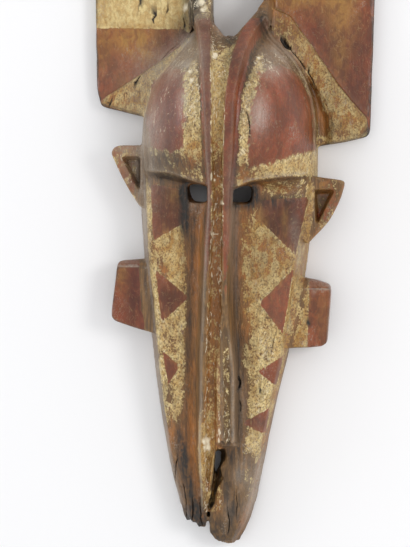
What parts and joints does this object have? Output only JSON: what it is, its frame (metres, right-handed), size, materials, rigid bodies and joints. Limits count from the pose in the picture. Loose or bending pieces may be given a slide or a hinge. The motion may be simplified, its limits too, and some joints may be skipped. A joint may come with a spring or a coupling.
{
  "type": "carved wooden face mask",
  "caption": "Long-faced carved and painted wooden mask with a domed forehead, a double keel, eye holes, side ears and tabs, and two flat horn boards.",
  "frame": {"origin": "centre of the bounding box's underside, on the plane that the back of the mask lies on", "axes": "+Y from the broken muzzle to the tops of the horn boards, +X to the viewer's right of the face, +Z out of the face"},
  "size_m": [0.3447, 0.96, 0.1545],
  "materials": {
    "painted_wood": "worn matt paint on weathered wood: red-brown and flaking cream over brown wood"
  },
  "bodies": {
    "root": {"mask": "painted_wood"}
  },
  "joints": []
}
